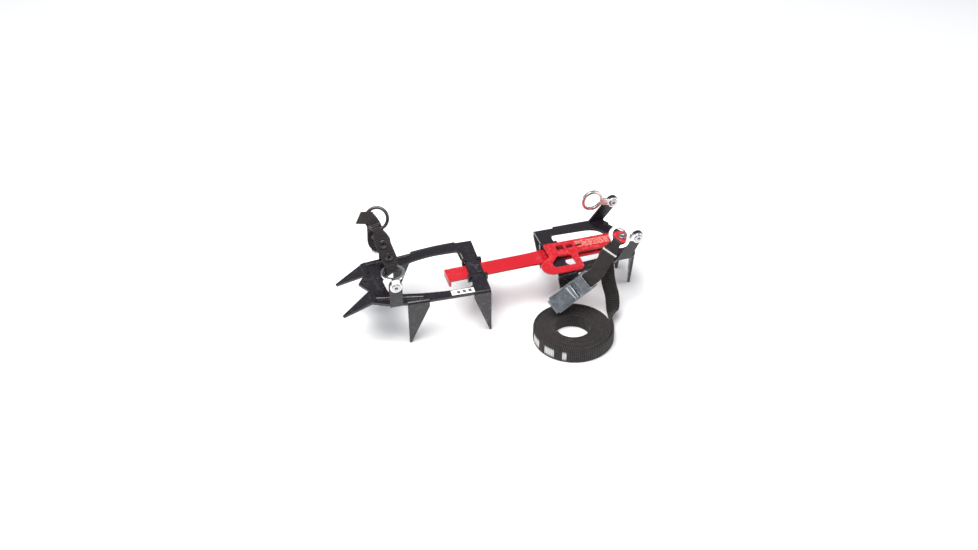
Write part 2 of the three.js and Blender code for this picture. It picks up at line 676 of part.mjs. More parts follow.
function toeHarness() {
  const group = new THREE.Group();
  const nearY = TOE_POST.near - GAP - RING.thick;
  const near = bentLink('toe_link_near');
  near.position.set(TOE_POST.nearX, nearY, TOE_POST.z);
  near.rotation.y = rad(TOE_LEAN.near);
  const farY = TOE_POST.far + GAP + RING.thick;
  const far = bentLink('toe_link_far');
  far.rotation.set(0, rad(TOE_LEAN.far), Math.PI);
  far.position.set(TOE_POST.farX, farY, TOE_POST.z);

  const nearLoop = toeLoop(TOE_POST.nearX, nearY, -1, LOOP_ANGLE.near, TOE_LEAN.near);
  const above = (x, y, z) => nearLoop.at.clone().add(new THREE.Vector3(x, y, z)).toArray();
  const nearRun = runStations(
    [nearLoop.at.toArray(), above(-0.8, 0.8, 9), above(-5, 5.5, 24), fromRing(0.5, -9.2, 0)],
    [[1, 0, 0], [1, 0, 0], ringSide.toArray()], 16, [GATHERED + 1, GATHERED - 1.5],
  );
  const farLoop = toeLoop(TOE_POST.farX, farY, 1, LOOP_ANGLE.far, TOE_LEAN.far);
  const farEnd = new THREE.Vector3(...fromRing(-9, 0, -14));
  const farRun = runStations(
    [farLoop.at.toArray(), leaving(farLoop, farEnd),
      between(farLoop.at, farEnd, 0.6, [0, 1.5, 2]), farEnd.toArray(), fromRing(-9.7, 0, 0.5)],
    [farLoop.wire.toArray(), farLoop.wire.toArray(), [1, 0, 0.2], [0.5, 0.5, 0.7],
      ringUp.toArray(), ringUp.toArray()],
    20, [GATHERED, GATHERED],
  );
  const rivetSeats = [nearRun[5], nearRun[10]];
  const farSeat = farRun[7];
  group.add(near, far, toeRing());
  group.add(piece('toe_strap_near', punched(belt(nearRun, 4.1, 3.7), rivetSeats), WEBBING));
  group.add(piece('toe_strap_far', farStrap(farRun, farSeat), WEBBING));
  group.add(strapRivet('toe_strap_rivet_low', rivetSeats[0]));
  group.add(strapRivet('toe_strap_rivet_high', rivetSeats[1]));
  group.add(strapRivet('toe_strap_rivet_far', farSeat));
  return group;
}

// The far strap comes over the ring's wire and ends in a short cut tail on the outer side.
function farStrap(run, seat) {
  const across = ringUp.clone().applyAxisAngle(ringFace, -rad(22));
  const tail = [[-5, 4.4], [-9.5, 4.9], [-13.5, 4.2], [-17.5, 3.2]].map(([side, face]) => ({
    at: new THREE.Vector3(...fromRing(side, 0, face)), across, out: ringFace.clone().negate(), width: 13,
  }));
  return punched(join(belt(run, 4.1, 3.8), strip(tail, WEB.thick)), [seat]);
}

// Heel side: near link, strap, buckle and the long strap.
const STRAP_FACE = new THREE.Vector3(-0.237, -0.74, 0.629).normalize();
const STRAP_DOWN = new THREE.Vector3(-0.737, -0.384, -0.557).normalize();
const BUCKLE_DOWN = new THREE.Vector3(-0.807, 0.022, -0.59).normalize();
const STRAP_REACH = 54; // ring centre to buckle bar

const nearLinkY = HEEL_POST.near.y + HEEL_Y - GAP - RING.thick; // outside its post
const farLinkY = HEEL_POST.far.y + HEEL_Y - SHEET - GAP - RING.thick; // inside its post
const nearRing = new THREE.Vector3(
  HEEL_POST.near.x - NEAR_REACH * Math.cos(rad(NEAR_RISE)),
  nearLinkY + RING.thick / 2,
  HEEL_POST.near.z + NEAR_REACH * Math.sin(rad(NEAR_RISE)),
);
const buckleBar = nearRing.clone().addScaledVector(STRAP_DOWN, STRAP_REACH);
const strapAcross = new THREE.Vector3().crossVectors(STRAP_FACE, STRAP_DOWN).normalize();

function buckleBasis() {
  const across = strapAcross.clone().addScaledVector(BUCKLE_DOWN, -strapAcross.dot(BUCKLE_DOWN)).normalize();
  const face = new THREE.Vector3().crossVectors(BUCKLE_DOWN, across);
  return new THREE.Matrix4().makeBasis(BUCKLE_DOWN, across, face);
}

function heelLinks() {
  const near = straightLink('heel_link_near', NEAR_REACH, -NEAR_TILT);
  near.position.set(HEEL_POST.near.x, nearLinkY, HEEL_POST.near.z);
  near.rotation.y = rad(NEAR_RISE);
  const far = straightLink('heel_link_far', FAR_REACH, 0);
  far.position.set(HEEL_POST.far.x, farLinkY, HEEL_POST.far.z);
  far.rotation.y = rad(FAR_RISE);
  return [near, far];
}

function buckleRun() {
  const face = new THREE.Vector3(0, -Math.cos(rad(NEAR_TILT)), Math.sin(rad(NEAR_TILT)));
  face.applyAxisAngle(new THREE.Vector3(0, 1, 0), rad(NEAR_RISE));
  const inPlane = STRAP_DOWN.clone().addScaledVector(face, -STRAP_DOWN.dot(face)).normalize();
  const wire = new THREE.Vector3().crossVectors(face, inPlane);
  const start = nearRing.clone().addScaledVector(inPlane, 8.6);
  const fourth = buckleBar.clone().addScaledVector(BUCKLE_DOWN, -9);
  const second = start.clone().addScaledVector(STRAP_DOWN, 10);
  const third = start.clone().lerp(fourth, 0.6);
  const across = new THREE.Vector3().setFromMatrixColumn(buckleBasis(), 1);
  return runStations(
    [start, second, third, fourth, buckleBar].map((p) => p.toArray()),
    [wire, wire, strapAcross, across, across].map((p) => p.toArray()), 18, [GATHERED, WEB.width],
  );
}

function longRun(shortRun) {
  const behind = (index, depth) => (
    shortRun[index].at.clone().addScaledVector(shortRun[index].out, -depth).toArray()
  );
  const across = shortRun[4].across.toArray();
  return runStations(
    [behind(4, 3.3), behind(6, 5), [114, -43.8, 56], [116, -46.5, 37], [118.3, -53, 22],
      [115.5, -62.5, 11.5], [109.5, -73, 7.7]],
    [across, across, [0.85, -0.45, -0.3], [0.93, -0.35, -0.1], [0.9, -0.3, 0.25], [0.7, -0.1, 0.7], [0, 0, 1]],
    28,
  );
}

function heelStraps() {
  const short = buckleRun();
  const coil = new THREE.LatheGeometry(points([
    [COIL.inner, 0], [COIL.outer, 0], [COIL.outer, COIL.height], [COIL.inner, COIL.height], [COIL.inner, 0],
  ]), 48).rotateX(Math.PI / 2);
  coil.scale(1, COIL.squash, 1).rotateZ(rad(COIL.turn)).translate(COIL.x, COIL.y, 0);
  return [
    piece('buckle_strap', belt(short, 3.7, 2.9), WEBBING),
    piece('long_strap_run', strip(longRun(short), WEB.thick), WEBBING),
    piece('long_strap_coil', coil, WEBBING),
  ];
}

// Buckle, in its own axes: X down the strap from the strap bar, Y across, Z towards its face.
const BUCKLE = {
  length: 44, half: 9.6, wall: 1.3, floor: -4.2, rail: 3,
  plateTop: 5.3, plateFrom: 3.5, plateTo: 12.5, pinX: 21, pinZ: 1.2,
};
const LEVER = { drum: 3.8, gripFrom: 34.5, grip: 3.1, lip: 4.4, plate: 1.2, thick: 1.4, beyond: 2.5 };

function buckleFrame() {
  const { length, half, wall, floor, rail, plateTop, plateFrom, plateTo, pinX, pinZ } = BUCKLE;
  const parts = [
    box(6.5, length, -half, half, floor, floor + wall),
    box(plateFrom, plateTo, -half, half, plateTop - 1.25, plateTop),
    pinY(0, 0, 1.6, -half, half, 16),
    box(length - 2, length, -half, half, floor, floor + 3.2),
  ];
  for (const y of [-half, half - wall]) {
    parts.push(box(-3, length, y, y + wall, floor, rail));
    parts.push(box(plateFrom, plateTo, y, y + wall, rail - 1, plateTop));
  }
  return piece('buckle_frame', cut(join(...parts), pinY(pinX, pinZ, 1.5, -20, 20)), STEEL);
}

function buckleLever() {
  const { length, half, wall, pinX, pinZ } = BUCKLE;
  const width = half - wall - GAP * 1.5;
  const end = length + LEVER.beyond;
  const under = pinZ + LEVER.plate;
  const body = join(
    pinY(pinX, pinZ, LEVER.drum, -width, width, 24),
    box(pinX, end, -width, width, under, under + LEVER.thick),
    box(LEVER.gripFrom, end, -width, width, under, pinZ + LEVER.grip),
    box(end - LEVER.thick, end, -width, width, under, pinZ + LEVER.lip),
  );
  return piece('buckle_lever', cut(body, pinY(pinX, pinZ, 1.5, -20, 20)), STEEL);
}

function buckle() {
  const group = new THREE.Group();
  group.quaternion.setFromRotationMatrix(buckleBasis());
  group.position.copy(buckleBar);
  const { half, pinX, pinZ } = BUCKLE;
  const pin = piece('buckle_pin', pinY(pinX, pinZ, 1.15, -half, half, 16), STEEL);
  group.add(buckleFrame(), buckleLever(), pin);
  return group;
}

// Rivets that hold the links to the posts
function postRivet(name, x, z, y0, y1) {
  const rivet = tubeRivet(name, y0, y1);
  rivet.position.set(x, 0, z);
  return rivet;
}

function frontAssembly() {
  const { nearX, farX, z, near, far } = TOE_POST;
  const pack = GAP + RING.thick;
  const guide = barGuide('front_bar_guide', -21.3, -6, -3.6, 11.4, [-1, 1]);
  guide.position.y = -FRONT_PIVOT[1];
  const label = piece('frame_label', box(-46, -22.5, -42.4, -34.9, DECK_TOP + 0.3, DECK_TOP + 0.6), LABEL);
  const turned = new THREE.Group();
  turned.add(frontFrame(), guide, label, toeHarness());
  turned.add(postRivet('toe_rivet_near', nearX, z, near - pack, near + SHEET));
  turned.add(postRivet('toe_rivet_far', farX, z, far - SHEET, far + pack));
  turned.position.set(-FRONT_PIVOT[0], 0, 0);
  const placed = new THREE.Group();
  placed.add(turned);
  placed.position.set(...FRONT_PIVOT, 0);
  placed.rotation.z = rad(FRONT_YAW);
  return placed;
}

function heelAssembly() {
  const { near, far } = HEEL_POST;
  const guide = barGuide('heel_bar_guide', 64.5, 78.5, 77, 11.4, [1]);
  const group = new THREE.Group();
  group.add(heelFrame(), guide, latch(), ...heelLinks(), ...heelStraps(), buckle());
  group.add(postRivet('heel_rivet_near', near.x, near.z, nearLinkY, HEEL_Y + near.y + SHEET));
  group.add(postRivet('heel_rivet_far', far.x, far.z, farLinkY, HEEL_Y + far.y));
  return group;
}

const crampon = new THREE.Group();
crampon.position.set(SHIFT_X, SHIFT_Y, 0);
crampon.add(frontAssembly(), linkBar(), heelAssembly());

export default crampon;
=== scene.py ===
import json
import math

import bpy
import numpy as np
from mathutils import Matrix, Vector


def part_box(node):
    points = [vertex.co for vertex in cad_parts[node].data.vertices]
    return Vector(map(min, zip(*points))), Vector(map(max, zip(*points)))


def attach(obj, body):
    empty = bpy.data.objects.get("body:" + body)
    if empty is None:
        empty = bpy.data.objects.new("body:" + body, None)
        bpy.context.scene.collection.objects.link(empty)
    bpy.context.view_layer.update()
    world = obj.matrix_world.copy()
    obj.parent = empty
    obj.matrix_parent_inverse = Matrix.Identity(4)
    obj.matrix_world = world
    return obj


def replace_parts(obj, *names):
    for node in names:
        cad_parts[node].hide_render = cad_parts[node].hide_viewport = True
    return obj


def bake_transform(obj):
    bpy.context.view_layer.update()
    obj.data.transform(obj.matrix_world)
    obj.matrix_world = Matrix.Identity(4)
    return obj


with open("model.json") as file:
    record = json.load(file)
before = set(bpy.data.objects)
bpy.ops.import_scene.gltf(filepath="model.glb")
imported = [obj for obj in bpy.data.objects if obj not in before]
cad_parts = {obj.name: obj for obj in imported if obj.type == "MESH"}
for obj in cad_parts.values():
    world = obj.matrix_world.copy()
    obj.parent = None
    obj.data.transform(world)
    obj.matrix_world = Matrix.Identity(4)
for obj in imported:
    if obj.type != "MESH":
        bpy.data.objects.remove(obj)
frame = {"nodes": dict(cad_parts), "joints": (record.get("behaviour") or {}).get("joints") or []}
NODES = frame["nodes"]
JOINTS = {joint["name"]: joint for joint in frame["joints"]}
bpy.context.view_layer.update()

MM = 0.001
UP = np.array([0.0, 0.0, 1.0])

# ---------------------------------------------------------------- camera, floor and lights

VIEW_AZIMUTH = -17.76
VIEW_ELEVATION = 38.95
VIEW_DISTANCE = 1.266
VIEW_TARGET = Vector((0.0036, 0.0198, 0.028))
VIEW_LENS = 44.5


def make_camera():
    azimuth, elevation = math.radians(VIEW_AZIMUTH), math.radians(VIEW_ELEVATION)
    back = Vector((
        math.sin(azimuth) * math.cos(elevation),
        -math.cos(azimuth) * math.cos(elevation),
        math.sin(elevation),
    ))
    data = bpy.data.cameras.new("camera")
    data.lens = VIEW_LENS
    camera = bpy.data.objects.new("camera", data)
    camera.location = VIEW_TARGET + back * VIEW_DISTANCE
    camera.rotation_euler = (-back).to_track_quat("-Z", "Y").to_euler()
    bpy.context.scene.collection.objects.link(camera)
    bpy.context.scene.camera = camera


def area_light(name, place, aim, size, power, colour):
    data = bpy.data.lights.new(name, "AREA")
    data.shape = "RECTANGLE"
    data.size, data.size_y = size
    data.energy = power
    data.color = colour
    light = bpy.data.objects.new(name, data)
    light.location = place
    light.rotation_euler = (Vector(aim) - Vector(place)).to_track_quat("-Z", "Y").to_euler()
    bpy.context.scene.collection.objects.link(light)


def light_studio():
    world = bpy.data.worlds.new("studio")
    world.use_nodes = True
    background = world.node_tree.nodes["Background"]
    background.inputs["Color"].default_value = (0.80, 0.88, 1.0, 1.0)
    background.inputs["Strength"].default_value = 0.30
    bpy.context.scene.world = world
    bpy.context.scene.view_settings.view_transform = "Standard"
    area_light("key", (-0.35, -0.15, 1.5), (0, 0, 0), (1.3, 1.0), 36, (1.0, 0.985, 0.965))
    area_light("side", (1.3, -0.5, 1.0), (0, 0, 0), (0.7, 0.7), 7, (1.0, 0.99, 0.97))


def lay_floor():
    half = 4.0
    mesh = bpy.data.meshes.new("floor")
    corners = [(-half, -half, 0), (half, -half, 0), (half, half, 0), (-half, half, 0)]
    mesh.from_pydata(corners, [], [(0, 1, 2, 3)])
    floor = bpy.data.objects.new("floor", mesh)
    floor.location.z = -0.2 * MM
    bpy.context.scene.collection.objects.link(floor)
    mesh.materials.append(floor_paper())


# ---------------------------------------------------------------- materials

class Shader:
    """A material whose nodes are added one call at a time."""

    def __init__(self, name, **fixed):
        self.material = bpy.data.materials.new(name)
        self.material.use_nodes = True
        self.tree = self.material.node_tree
        self.surface = self.tree.nodes["Principled BSDF"]
        for socket, value in fixed.items():
            self.surface.inputs[socket.replace("_", " ")].default_value = value

    def node(self, kind, inputs=(), output=0, **settings):
        made = self.tree.nodes.new(kind)
        for key, value in settings.items():
            setattr(made, key, value)
        for key, value in dict(inputs).items():
            self.feed(made.inputs[key], value)
        return made.outputs[output]

    def feed(self, socket, value):
        if isinstance(value, bpy.types.NodeSocket):
            self.tree.links.new(value, socket)
        else:
            socket.default_value = value

    def place(self):
        return self.node("ShaderNodeTexCoord", output="Object")

    def noise(self, scale, detail=3.0, vector=None):
        inputs = {"Scale": scale, "Detail": detail, "Vector": vector or self.place()}
        return self.node("ShaderNodeTexNoise", inputs)

    def stretched(self, factors, vector=None):
        inputs = {0: vector or self.place(), 1: factors}
        return self.node("ShaderNodeVectorMath", inputs, operation="MULTIPLY")

    def sum(self, operation, first, second=0.0):
        return self.node("ShaderNodeMath", {0: first, 1: second}, operation=operation)

    def ramp(self, value, low, high, start=0.0, end=1.0):
        inputs = {"Value": value, "From Min": low, "From Max": high, "To Min": start, "To Max": end}
        return self.node("ShaderNodeMapRange", inputs)

    def blend(self, share, first, second):
        made = self.tree.nodes.new("ShaderNodeMix")
        made.data_type = "RGBA"
        for key, value in ((0, share), (6, first), (7, second)):
            self.feed(made.inputs[key], value)
        return made.outputs[2]

    def bump(self, height, strength, depth, normal=None):
        inputs = {"Height": height, "Strength": strength, "Distance": depth}
        if normal:
            inputs["Normal"] = normal
        return self.node("ShaderNodeBump", inputs)

    def rolled(self, radius):
        return self.node("ShaderNodeBevel", {"Radius": radius}, samples=8)

    def edges(self, low=0.53, high=0.62):
        return self.ramp(self.node("ShaderNodeNewGeometry", output="Pointiness"), low, high)

    def set(self, **sockets):
        for socket, value in sockets.items():
            self.feed(self.surface.inputs[socket.replace("_", " ")], value)
        return self.material


def colour(red, green, blue):
    return (red, green, blue, 1.0)


def floor_paper():
    shader = Shader("floor_paper", Roughness=0.9, Specular_IOR_Level=0.1)
    return shader.set(Base_Color=shader.blend(
        shader.noise(3.0), colour(0.93, 0.935, 0.94), colour(0.955, 0.955, 0.955),
    ))


def black_enamel():
    """Dipped black enamel with a plum tint, an even gloss and a faint orange peel."""
    shader = Shader("black_enamel", Coat_Weight=0.25, Coat_Roughness=0.12, Specular_IOR_Level=0.5)
    tint = shader.blend(shader.noise(90.0), colour(0.007, 0.005, 0.007), colour(0.016, 0.011, 0.015))
    patches = shader.ramp(shader.noise(260.0), 0.5, 0.65, 0.0, 0.4)
    rubbed = shader.sum("MULTIPLY", shader.edges(0.56, 0.66), patches)
    return shader.set(
        Base_Color=shader.blend(rubbed, tint, colour(0.12, 0.11, 0.12)),
        Roughness=shader.ramp(shader.noise(120.0), 0.3, 0.7, 0.24, 0.30),
        Normal=shader.bump(shader.noise(900.0), 0.08, 0.1 * MM, shader.rolled(0.45 * MM)),
    )


def red_enamel(name="red_enamel"):
    """Signal red enamel, glossy, mottled in tone and thin at the edges."""
    shader = Shader(name, Coat_Weight=0.2, Coat_Roughness=0.2)
    tint = shader.blend(shader.noise(45.0), colour(0.46, 0.004, 0.012), colour(0.56, 0.008, 0.018))
    rubbed = shader.sum("MULTIPLY", shader.edges(), shader.ramp(shader.noise(300.0), 0.5, 0.68, 0.0, 0.6))
    return shader, shader.blend(rubbed, tint, colour(0.72, 0.10, 0.10))


def finish_red(shader, base):
    peel = shader.bump(shader.noise(1100.0), 0.10, 0.12 * MM)
    return shader.set(
        Base_Color=base,
        Roughness=shader.ramp(shader.noise(80.0), 0.3, 0.7, 0.28, 0.42),
        Normal=peel,
    )


def bar_red():
    return finish_red(*red_enamel("bar_red"))


def latch_red():
    """The latch's enamel with rows of plain cream dashes where instructions would be printed."""
    shader, base = red_enamel("latch_red")
    low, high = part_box("latch_plate")
    rows_from, rows_to = low.x + 47 * MM, high.x - 24 * MM
    middle = JOINTS["latch_lift"]["pos_m"][1]
    split = shader.node("ShaderNodeSeparateXYZ", {0: shader.place()})
    across = split.node.outputs["Y"]
    along = split.node.outputs["X"]
    wave = shader.sum("SINE", shader.sum("MULTIPLY", across, 2 * math.pi / (2.1 * MM)))
    row = shader.sum("GREATER_THAN", wave, 0.25)
    words = shader.noise(1.0, 0.0, shader.stretched((520.0, 900.0, 1.0)))
    dashes = shader.sum("MULTIPLY", row, shader.sum("GREATER_THAN", words, 0.46))
    for value, limit, operation in (
        (along, rows_from, "GREATER_THAN"), (along, rows_to, "LESS_THAN"),
        (across, middle - 4 * MM, "GREATER_THAN"), (across, middle + 7.5 * MM, "LESS_THAN"),
    ):
        dashes = shader.sum("MULTIPLY", dashes, shader.sum(operation, value, limit))
    dimmed_share = shader.sum("MULTIPLY", dashes, 0.75)
    return finish_red(shader, shader.blend(dimmed_share, base, colour(0.86, 0.62, 0.50)))


def bright_plate():
    """Polished nickel plate with fine polishing lines and a few scuffs."""
    shader = Shader("bright_plate", Metallic=1.0)
    tint = shader.blend(shader.noise(120.0), colour(0.72, 0.70, 0.67), colour(0.84, 0.82, 0.79))
    lines = shader.noise(1.0, 2.0, shader.stretched((300.0, 300.0, 2200.0)))
    return shader.set(
        Base_Color=tint,
        Roughness=shader.ramp(shader.noise(160.0), 0.35, 0.7, 0.16, 0.30),
        Normal=shader.bump(lines, 0.06, 0.05 * MM),
    )


def satin_steel(name, low, high, roughness):
    """Plain steel with a satin, slightly mottled zinc finish."""
    shader = Shader(name, Metallic=1.0)
    tint = shader.blend(shader.noise(200.0), low, high)
    grain = shader.noise(1.0, 4.0, shader.stretched((2600.0, 500.0, 500.0)))
    worn = shader.blend(shader.edges(), tint, colour(0.78, 0.78, 0.80))
    return shader.set(
        Base_Color=worn,
        Roughness=shader.ramp(shader.noise(240.0), 0.3, 0.7, roughness - 0.06, roughness + 0.08),
        Normal=shader.bump(grain, 0.12, 0.06 * MM),
    )


WEFT_PITCH = 2.0 * MM
RIB_RELIEF = 0.22  # share of the thickness
WARP_PITCH = 0.62 * MM


def webbing_weave():
    """Ribbed nylon webbing: fine warp yarns over round weft ribs, with woven-in pale blocks, and painted shade:
    the colour is lighter on the crests and darker in the grooves between ribs and yarns.
    """
    shader = Shader("webbing_weave", Sheen_Weight=0.18, Sheen_Roughness=0.5, Specular_IOR_Level=0.22)
    split = shader.node("ShaderNodeSeparateXYZ", {0: shader.node("ShaderNodeUVMap", uv_map="UVMap")})
    along, across = split.node.outputs["X"], split.node.outputs["Y"]
    yarn = shader.sum("SINE", shader.sum("MULTIPLY", across, 2 * math.pi / WARP_PITCH))
    twist = shader.sum("SINE", shader.sum(
        "ADD", shader.sum("MULTIPLY", along, 2 * math.pi / (WEFT_PITCH / 4)),
        shader.sum("MULTIPLY", across, 2 * math.pi / WARP_PITCH),
    ))
    relief = shader.sum("ADD", yarn, shader.sum("MULTIPLY", twist, 0.45))
    # painted shade: the yarns are coloured lighter on the rib and yarn crests and darker in the grooves,
    # following the bump relief, with a random mottle from the noise on top
    groove = shader.sum("COSINE", shader.sum("MULTIPLY", along, 2 * math.pi / WEFT_PITCH))
    shade = shader.ramp(shader.sum("ADD", groove, shader.sum("MULTIPLY", relief, 0.35)), -1.3, 1.4)
    dimmed_share = shader.sum("MULTIPLY", shade, shader.ramp(shader.noise(140.0), 0.3, 0.75, 0.55, 1.0))
    yarns = shader.blend(dimmed_share, colour(0.004, 0.0035, 0.0035), colour(0.062, 0.050, 0.047))
    mark = shader.node("ShaderNodeAttribute", attribute_name="mark", output="Fac")
    # the pale blocks carry the same painted shade from the ribs
    pale = shader.blend(shade, colour(0.45, 0.44, 0.43), colour(0.86, 0.85, 0.83))
    return shader.set(
        Base_Color=shader.blend(mark, yarns, pale),
        Roughness=shader.ramp(shader.noise(300.0), 0.3, 0.7, 0.72, 0.92),
        Normal=shader.bump(relief, 0.55, 0.12 * MM),
    )


def sticker():
    """A white sticker with four plain grey blocks instead of printing."""
    shader = Shader("sticker", Specular_IOR_Level=0.4)
    low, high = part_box("frame_label")
    middle, length = (low + high) / 2, high.x - low.x
    split = shader.node("ShaderNodeSeparateXYZ", {0: shader.place()})
    share = shader.ramp(split.node.outputs["X"], low.x, high.x)
    wave = shader.sum("SINE", shader.sum("MULTIPLY", share, 2 * math.pi * 4))
    blocks = shader.sum("GREATER_THAN", wave, -0.1)
    inside = shader.sum("MULTIPLY", shader.sum("GREATER_THAN", share, 0.1), shader.sum("LESS_THAN", share, 0.9))
    slope = (high.y - low.y) / length
    offset = shader.sum("ABSOLUTE", shader.sum("SUBTRACT", split.node.outputs["Y"], middle.y))
    band = shader.sum("LESS_THAN", offset, 0.2 * length * slope + 0.3 * MM)
    printed = shader.sum("MULTIPLY", shader.sum("MULTIPLY", blocks, inside), band)
    aged = shader.blend(shader.noise(200.0), colour(0.80, 0.80, 0.77), colour(0.90, 0.90, 0.88))
    return shader.set(
        Base_Color=shader.blend(printed, aged, colour(0.10, 0.09, 0.10)),
        Roughness=shader.ramp(shader.noise(400.0), 0.3, 0.7, 0.42, 0.58),
        Normal=shader.bump(shader.noise(500.0), 0.1, 0.05 * MM),
    )


def white_thread():
    shader = Shader("white_thread", Sheen_Weight=0.3)
    fibre = shader.noise(1.0, 2.0, shader.stretched((4000.0, 4000.0, 9000.0)))
    return shader.set(
        Base_Color=shader.blend(fibre, colour(0.62, 0.60, 0.57), colour(0.90, 0.89, 0.86)),
        Roughness=shader.ramp(fibre, 0.2, 0.8, 0.6, 0.85),
        Normal=shader.bump(fibre, 0.4, 0.05 * MM),
    )


# ---------------------------------------------------------------- CAD nodes kept, with softer edges

def dress(node, material):
    """Gives a CAD node its material and lets its faces shade smoothly."""
    obj = NODES[node]
    obj.data.materials.clear()
    obj.data.materials.append(material)
    obj.data.polygons.foreach_set("use_smooth", [True] * len(obj.data.polygons))
    return obj


def round_edges(node, material, width, segments=3, angle=28):
    """A pressed or machined plate: its flat faces stay whole and its edges are rolled over."""
    obj = dress(node, material)
    weld = obj.modifiers.new("weld", "WELD")
    weld.merge_threshold = 0.01 * MM
    flat = obj.modifiers.new("flat", "DECIMATE")
    flat.decimate_type = "DISSOLVE"
    flat.angle_limit = math.radians(0.15)
    bevel = obj.modifiers.new("edges", "BEVEL")
    bevel.width = width
    bevel.segments = segments
    bevel.limit_method = "ANGLE"
    bevel.angle_limit = math.radians(angle)
    bevel.harden_normals = True
    bevel.miter_outer = "MITER_ARC"
    return obj


def keep_folds(node, material, angle=28):
    """A folded sheet whose faces stay as they are; its material rolls the edges over."""
    obj = dress(node, material)
    weld = obj.modifiers.new("weld", "WELD")
    weld.merge_threshold = 0.01 * MM
    split = obj.modifiers.new("folds", "EDGE_SPLIT")
    split.split_angle = math.radians(angle)
    return obj


def melt(node, material, voxel, passes):
    """A forged piece: one skin over the whole node, with every edge and joint rounded."""
    obj = dress(node, material)
    weld = obj.modifiers.new("weld", "WELD")
    weld.merge_threshold = 0.01 * MM
    skin = obj.modifiers.new("skin", "REMESH")
    skin.mode = "VOXEL"
    skin.voxel_size = voxel
    skin.use_smooth_shade = True
    smooth = obj.modifiers.new("smooth", "SMOOTH")
    smooth.factor = 0.5
    smooth.iterations = passes
    return obj


# ---------------------------------------------------------------- round pieces

def mesh_piece(name, points, faces, material, body, smooth=True):
    mesh = bpy.data.meshes.new(name)
    mesh.from_pydata([tuple(p) for p in points], [], faces)
    mesh.materials.append(material)
    mesh.polygons.foreach_set("use_smooth", [smooth] * len(mesh.polygons))
    obj = bpy.data.objects.new(name, mesh)
    bpy.context.scene.collection.objects.link(obj)
    if body:
        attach(obj, body)
    return obj


def node_points(node):
    points = np.array([v.co for v in NODES[node].data.vertices], float)
    return np.unique(points.round(7), axis=0)


def unit(vector):
    vector = np.array(vector, float)
    return vector / np.linalg.norm(vector)


def round_axis(node):
    """Centre, axis and half length of a turned CAD node."""
    points = node_points(node)
    middle = points.mean(0)
    spread, directions = np.linalg.eigh((points - middle).T @ (points - middle))
    odd = 0 if spread[1] - spread[0] > spread[2] - spread[1] else 2
    axis = directions[:, odd]
    axis = axis * np.sign(axis[np.argmax(np.abs(axis))])
    heights = (points - middle) @ axis
    centre = middle + axis * (heights.max() + heights.min()) / 2
    return centre, axis, (heights.max() - heights.min()) / 2


def turned(name, centre, axis, profile, material, body, sides=56):
    """Turns a closed profile of (radius, height) points round an axis."""
    side = unit(np.cross(axis, UP if abs(axis[2]) < 0.9 else np.array([1.0, 0, 0])))
    ahead = np.cross(axis, side)
    points, faces = [], []
    count = len(profile)
    for i in range(sides):
        angle = 2 * math.pi * i / sides
        spoke = side * math.cos(angle) + ahead * math.sin(angle)
        points += [centre + spoke * radius + axis * height for radius, height in profile]
        for j in range(count):
            k, following = (j + 1) % count, ((i + 1) % sides) * count
            faces.append((i * count + j, following + j, following + k, i * count + k))
    return mesh_piece(name, points, faces, material, body)


RIVET_BORE = 1.35 * MM
RIVET_SHANK = 2.5 * MM


def rolled_rivet(node, material, body, head):
    """A tubular rivet: both ends are rolled out over the work."""
    centre, axis, half = round_axis(node)
    rolled = [
        (RIVET_BORE, -0.9), (RIVET_BORE + 0.08 * MM, -0.35), (RIVET_BORE + 0.4 * MM, -0.06),
        (RIVET_BORE + 0.9 * MM, 0.0), (head - 1.6 * MM, -0.06), (head - 0.9 * MM, -0.2),
        (head - 0.3 * MM, -0.42), (head, -0.62), (head - 0.12 * MM, -0.74), (RIVET_SHANK, -0.75),
    ]
    upper = [(radius, half + drop * MM) for radius, drop in rolled]
    lower = [(radius, -height) for radius, height in reversed(upper)]
    piece = turned(f"{node}_turned", centre, axis, upper + lower, material, body)
    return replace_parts(piece, node)


def ring_piece(node, material, body, minor):
    centre, axis, _ = round_axis(node)
    points = node_points(node)
    radii = np.linalg.norm(np.cross(points - centre, axis), axis=1)
    major = (radii.max() + radii.min()) / 2
    profile = [
        (major + minor * math.cos(2 * math.pi * k / 20), minor * math.sin(2 * math.pi * k / 20))
        for k in range(20)
    ]
    piece = turned(f"{node}_round", centre, axis, profile, material, body, 96)
    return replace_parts(piece, node)


# ---------------------------------------------------------------- webbing

WEB_WIDTH = 15 * MM
WEB_THICK = 1.5 * MM

# from the woven edge to the middle of the face: share of the width, share of the thickness
EDGE = [(0.5, 0.0), (0.492, 0.3), (0.468, 0.45), (0.4, 0.5), (0.2, 0.5), (0.0, 0.5)]


def section():
    """The webbing's closed outline, from half of its upper side."""
    top = EDGE + [(-a, o) for a, o in reversed(EDGE[:-1])]
    return top + [(a, -o) for a, o in reversed(top[1:-1])]


def spline_point(points, share):
    """A centripetal Catmull-Rom curve through the points, at a share of its parameter."""
    place = (len(points) - 1) * share
    i = min(int(place), len(points) - 2)
    w = place - i
    p1, p2 = points[i], points[i + 1]
    p0 = points[i - 1] if i else 2 * p1 - p2
    p3 = points[i + 2] if i + 2 < len(points) else 2 * p2 - p1
    d0, d1, d2 = (max(np.linalg.norm(b - a), 1e-9) ** 0.5 for a, b in ((p0, p1), (p1, p2), (p2, p3)))
    t1 = ((p1 - p0) / d0 - (p2 - p0) / (d0 + d1) + (p2 - p1) / d1) * d1
    t2 = ((p2 - p1) / d1 - (p3 - p1) / (d1 + d2) + (p3 - p2) / d2) * d1
    cubic = 2 * p1 - 2 * p2 + t1 + t2
    square = -3 * p1 + 3 * p2 - 2 * t1 - t2
    return p1 + t1 * w + square * w**2 + cubic * w**3


